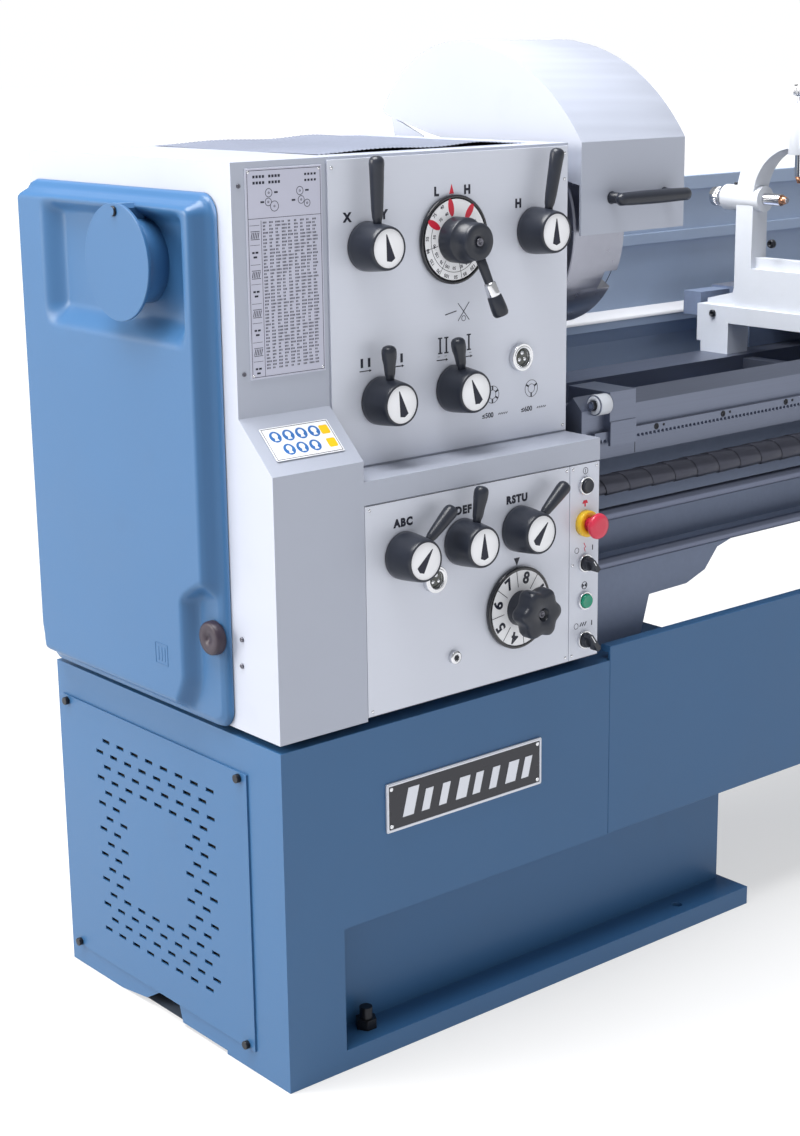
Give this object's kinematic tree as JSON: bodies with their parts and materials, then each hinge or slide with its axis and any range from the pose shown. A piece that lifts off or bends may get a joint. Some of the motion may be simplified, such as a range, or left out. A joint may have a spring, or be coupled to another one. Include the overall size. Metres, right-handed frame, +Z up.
{
  "type": "metal lathe",
  "caption": "Centre lathe on two cabinets, with headstock, feed box, chuck under a hood, carriage, steady rest and tailstock.",
  "frame": {"origin": "centre of the four foundation bolt holes, on the floor", "axes": "+X along the bed from headstock to tailstock, +Y from the operator to the back, +Z up"},
  "size_m": [2.756, 0.873, 1.4707],
  "materials": {
    "cabinet_blue": "satin blue paint",
    "tray_blue": "satin blue paint",
    "casing_white": "pale grey satin paint",
    "bed_grey": "blue-grey paint, ground ways",
    "shield_grey": "blue-grey sheet paint",
    "white_paint": "white gloss paint",
    "label_plate": "printed plate",
    "trim_steel": "bright",
    "machined_steel": "ground and turned",
    "screw_black": "blackened",
    "knob_black": "moulded",
    "dial_black": "moulded",
    "stop_red": "moulded",
    "start_green": "moulded",
    "knob_brown": "moulded",
    "belt_rubber": "moulded",
    "motor_grey": "painted casting"
  },
  "bodies": {
    "machine": {"left_cabinet": "cabinet_blue", "right_cabinet": "cabinet_blue", "chip_tray": "tray_blue", "vent_panel": "cabinet_blue", "cabinet_screws": "screw_black", "panel_plates": "label_plate", "bezels": "trim_steel", "bed": "bed_grey", "headstock_housing": "casing_white", "gear_casing": "casing_white", "feed_box": "casing_white", "splash_guard": "shield_grey", "motor": "motor_grey", "drive_belts": "belt_rubber", "screw_cover": "machined_steel", "steady_frame": "white_paint"},
    "spindle_assembly": {"spindle": "machined_steel", "chuck_body": "machined_steel"},
    "carriage": {"saddle": "bed_grey", "apron": "casing_white"},
    "gear_door_body": {"gear_door": "cabinet_blue"},
    "door_knob_body": {"door_knob": "knob_brown"},
    "spindle_cap_body": {"spindle_cap": "cabinet_blue"},
    "chuck_jaw_1_body": {"chuck_jaw_1": "machined_steel"},
    "chuck_jaw_2_body": {"chuck_jaw_2": "machined_steel"},
    "chuck_jaw_3_body": {"chuck_jaw_3": "machined_steel"},
    "input_shaft_body": {"input_shaft": "machined_steel"},
    "motor_pulley_body": {"motor_pulley": "machined_steel"},
    "change_gear_top_body": {"change_gear_top": "machined_steel"},
    "change_gear_idler_body": {"change_gear_idler": "machined_steel"},
    "change_gear_bottom_body": {"change_gear_bottom": "machined_steel"},
    "direction_lever_body": {"direction_lever": "knob_black"},
    "range_lever_body": {"range_lever": "knob_black"},
    "step_lever_body": {"step_lever": "knob_black"},
    "ratio_lever_body": {"ratio_lever": "knob_black"},
    "feed_lever_abc_body": {"feed_lever_abc": "knob_black"},
    "feed_lever_def_body": {"feed_lever_def": "knob_black"},
    "feed_lever_rstu_body": {"feed_lever_rstu": "knob_black"},
    "speed_dial_body": {"speed_dial": "dial_black"},
    "feed_dial_body": {"feed_dial": "dial_black"},
    "jog_button_body": {"jog_button": "dial_black"},
    "stop_button_body": {"stop_button": "stop_red"},
    "start_button_body": {"start_button": "start_green"},
    "mode_switch_body": {"mode_switch": "knob_black"},
    "pump_switch_body": {"pump_switch": "knob_black"},
    "lead_screw_body": {"lead_screw": "machined_steel"},
    "feed_rod_body": {"feed_rod": "machined_steel"},
    "control_rod_body": {"control_rod": "machined_steel"},
    "chuck_guard_body": {"chuck_guard": "white_paint"},
    "carriage_wheel_body": {"carriage_wheel": "trim_steel"},
    "cross_slide_body": {"cross_slide": "machined_steel"},
    "cross_wheel_body": {"cross_wheel": "trim_steel"},
    "top_slide_body": {"top_slide": "machined_steel"},
    "tool_post_body": {"tool_post": "machined_steel"},
    "steady_finger_top_body": {"steady_finger_top": "machined_steel"},
    "steady_finger_rear_body": {"steady_finger_rear": "machined_steel"},
    "steady_finger_front_body": {"steady_finger_front": "machined_steel"},
    "tailstock_body_body": {"tailstock_body": "bed_grey"},
    "quill_body": {"quill": "machined_steel"},
    "tailstock_wheel_body": {"tailstock_wheel": "trim_steel"}
  },
  "joints": [
    {"name": "door_hinge", "type": "hinge", "parent": "machine", "child": "gear_door_body", "pos_m": [-1.554, 0.307, 0.9], "axis": [0, 0, -1], "range_deg": [0, 110]},
    {"name": "door_lock", "type": "hinge", "parent": "gear_door_body", "child": "door_knob_body", "pos_m": [-1.572, -0.172, 0.664], "axis": [-1, 0, 0], "range_deg": [0, 90]},
    {"name": "cap_swing", "type": "hinge", "parent": "gear_door_body", "child": "spindle_cap_body", "pos_m": [-1.607, -0.035, 1.252], "axis": [1, 0, 0], "range_deg": [-100, 100]},
    {"name": "spindle_spin", "type": "hinge", "parent": "machine", "child": "spindle_assembly", "pos_m": [-1.145, -0.035, 1.182], "axis": [1, 0, 0], "continuous": true},
    {"name": "jaw_1_slide", "type": "slide", "parent": "spindle_assembly", "child": "chuck_jaw_1_body", "axis": [0, 0, 1], "range_m": [-0.016, 0.044]},
    {"name": "jaw_2_slide", "type": "slide", "parent": "spindle_assembly", "child": "chuck_jaw_2_body", "axis": [0, -0.866, -0.5], "range_m": [-0.016, 0.044]},
    {"name": "jaw_3_slide", "type": "slide", "parent": "spindle_assembly", "child": "chuck_jaw_3_body", "axis": [0, 0.866, -0.5], "range_m": [-0.016, 0.044]},
    {"name": "input_spin", "type": "hinge", "parent": "machine", "child": "input_shaft_body", "pos_m": [-1.145, 0.13, 1.082], "axis": [1, 0, 0], "continuous": true},
    {"name": "motor_spin", "type": "hinge", "parent": "machine", "child": "motor_pulley_body", "pos_m": [-1.485, 0.1, 0.24], "axis": [1, 0, 0], "continuous": true},
    {"name": "top_gear_spin", "type": "hinge", "parent": "machine", "child": "change_gear_top_body", "pos_m": [-1.495, -0.07, 1.01], "axis": [1, 0, 0], "continuous": true},
    {"name": "idler_gear_spin", "type": "hinge", "parent": "machine", "child": "change_gear_idler_body", "pos_m": [-1.495, -0.11383, 0.87851], "axis": [1, 0, 0], "continuous": true},
    {"name": "bottom_gear_spin", "type": "hinge", "parent": "machine", "child": "change_gear_bottom_body", "pos_m": [-1.495, -0.2, 0.755], "axis": [1, 0, 0], "continuous": true},
    {"name": "direction_lever_turn", "type": "hinge", "parent": "machine", "child": "direction_lever_body", "pos_m": [-1.318, -0.223, 1.196], "axis": [0, 1, 0], "range_deg": [-30, 30]},
    {"name": "range_lever_turn", "type": "hinge", "parent": "machine", "child": "range_lever_body", "pos_m": [-0.997, -0.223, 1.196], "axis": [0, 1, 0], "range_deg": [-24, 0]},
    {"name": "step_lever_turn", "type": "hinge", "parent": "machine", "child": "step_lever_body", "pos_m": [-1.298, -0.223, 0.976], "axis": [0, 1, 0], "range_deg": [-35, 35]},
    {"name": "ratio_lever_turn", "type": "hinge", "parent": "machine", "child": "ratio_lever_body", "pos_m": [-1.158, -0.223, 0.977], "axis": [0, 1, 0], "range_deg": [-30, 35]},
    {"name": "feed_lever_abc_turn", "type": "hinge", "parent": "machine", "child": "feed_lever_abc_body", "pos_m": [-1.32, -0.3, 0.766], "axis": [0, 1, 0], "range_deg": [-80, 0]},
    {"name": "feed_lever_def_turn", "type": "hinge", "parent": "machine", "child": "feed_lever_def_body", "pos_m": [-1.209, -0.3, 0.767], "axis": [0, 1, 0], "range_deg": [-27, 33]},
    {"name": "feed_lever_rstu_turn", "type": "hinge", "parent": "machine", "child": "feed_lever_rstu_body", "pos_m": [-1.096, -0.3, 0.768], "axis": [0, 1, 0], "range_deg": [-80, 0]},
    {"name": "speed_dial_turn", "type": "hinge", "parent": "machine", "child": "speed_dial_body", "pos_m": [-1.158, -0.223, 1.194], "axis": [0, 1, 0], "continuous": true},
    {"name": "feed_dial_turn", "type": "hinge", "parent": "machine", "child": "feed_dial_body", "pos_m": [-1.099, -0.3, 0.647], "axis": [0, 1, 0], "continuous": true},
    {"name": "jog_press", "type": "slide", "parent": "machine", "child": "jog_button_body", "axis": [0, 1, 0], "range_m": [0, 0.004], "stiffness_N_per_m": 400, "springref_m": -0.001},
    {"name": "start_press", "type": "slide", "parent": "machine", "child": "start_button_body", "axis": [0, 1, 0], "range_m": [0, 0.004], "stiffness_N_per_m": 400, "springref_m": -0.001},
    {"name": "stop_press", "type": "slide", "parent": "machine", "child": "stop_button_body", "axis": [0, 1, 0], "range_m": [0, 0.006]},
    {"name": "mode_turn", "type": "hinge", "parent": "machine", "child": "mode_switch_body", "pos_m": [-0.956, -0.3, 0.69], "axis": [0, 1, 0], "range_deg": [0, 70]},
    {"name": "pump_turn", "type": "hinge", "parent": "machine", "child": "pump_switch_body", "pos_m": [-0.956, -0.3, 0.567], "axis": [0, 1, 0], "range_deg": [0, 70]},
    {"name": "lead_screw_spin", "type": "hinge", "parent": "machine", "child": "lead_screw_body", "pos_m": [-0.545, -0.27, 0.797], "axis": [1, 0, 0], "continuous": true},
    {"name": "feed_rod_spin", "type": "hinge", "parent": "machine", "child": "feed_rod_body", "pos_m": [-0.545, -0.27, 0.749], "axis": [1, 0, 0], "continuous": true},
    {"name": "control_rod_turn", "type": "hinge", "parent": "machine", "child": "control_rod_body", "pos_m": [-0.545, -0.27, 0.67], "axis": [1, 0, 0], "range_deg": [-20, 20]},
    {"name": "guard_swing", "type": "hinge", "parent": "machine", "child": "chuck_guard_body", "pos_m": [-0.895, 0.18, 1.285], "axis": [-1, 0, 0], "range_deg": [0, 75]},
    {"name": "carriage_slide", "type": "slide", "parent": "machine", "child": "carriage", "axis": [1, 0, 0], "range_m": [-0.035, 0.25]},
    {"name": "carriage_wheel_turn", "type": "hinge", "parent": "carriage", "child": "carriage_wheel_body", "pos_m": [0.04, -0.42, 0.765], "axis": [0, 1, 0], "range_deg": [-620, 4490]},
    {"name": "cross_slide_travel", "type": "slide", "parent": "carriage", "child": "cross_slide_body", "axis": [0, 1, 0], "range_m": [-0.05, 0.1]},
    {"name": "cross_wheel_turn", "type": "hinge", "parent": "carriage", "child": "cross_wheel_body", "pos_m": [0.105, -0.46, 0.964], "axis": [0, 1, 0], "range_deg": [-3590, 7190]},
    {"name": "top_slide_travel", "type": "slide", "parent": "cross_slide_body", "child": "top_slide_body", "axis": [1, 0, 0], "range_m": [-0.03, 0.04]},
    {"name": "tool_post_turn", "type": "hinge", "parent": "top_slide_body", "child": "tool_post_body", "pos_m": [0.105, -0.17, 1.14], "axis": [0, 0, 1], "continuous": true},
    {"name": "tailstock_slide", "type": "slide", "parent": "machine", "child": "tailstock_body_body", "axis": [1, 0, 0], "range_m": [-0.1, 0.09]},
    {"name": "quill_travel", "type": "slide", "parent": "tailstock_body_body", "child": "quill_body", "axis": [-1, 0, 0], "range_m": [0, 0.1]},
    {"name": "tailstock_wheel_turn", "type": "hinge", "parent": "tailstock_body_body", "child": "tailstock_wheel_body", "pos_m": [1.009, -0.035, 1.182], "axis": [-1, 0, 0], "range_deg": [0, 7190]},
    {"name": "finger_top_slide", "type": "slide", "parent": "machine", "child": "steady_finger_top_body", "axis": [0, 0, 1], "range_m": [-0.01, 0.04]},
    {"name": "finger_rear_slide", "type": "slide", "parent": "machine", "child": "steady_finger_rear_body", "axis": [0, 1, 0], "range_m": [-0.01, 0.04]},
    {"name": "finger_front_slide", "type": "slide", "parent": "machine", "child": "steady_finger_front_body", "axis": [0, -1, 0], "range_m": [-0.01, 0.04]}
  ],
  "couplings": [
    {"joint": "input_spin", "follows": "spindle_spin", "ratio": -1.25},
    {"joint": "motor_spin", "follows": "spindle_spin", "ratio": -2.2727},
    {"joint": "jaw_2_slide", "follows": "jaw_1_slide", "ratio": 1},
    {"joint": "jaw_3_slide", "follows": "jaw_1_slide", "ratio": 1},
    {"joint": "top_gear_spin", "follows": "idler_gear_spin", "ratio": -1.875},
    {"joint": "bottom_gear_spin", "follows": "idler_gear_spin", "ratio": -1.5},
    {"joint": "carriage_slide", "follows": "carriage_wheel_turn", "m_per_rad": 0.0031831},
    {"joint": "cross_slide_travel", "follows": "cross_wheel_turn", "m_per_rad": 0.0007958},
    {"joint": "quill_travel", "follows": "tailstock_wheel_turn", "m_per_rad": 0.0007958}
  ]
}
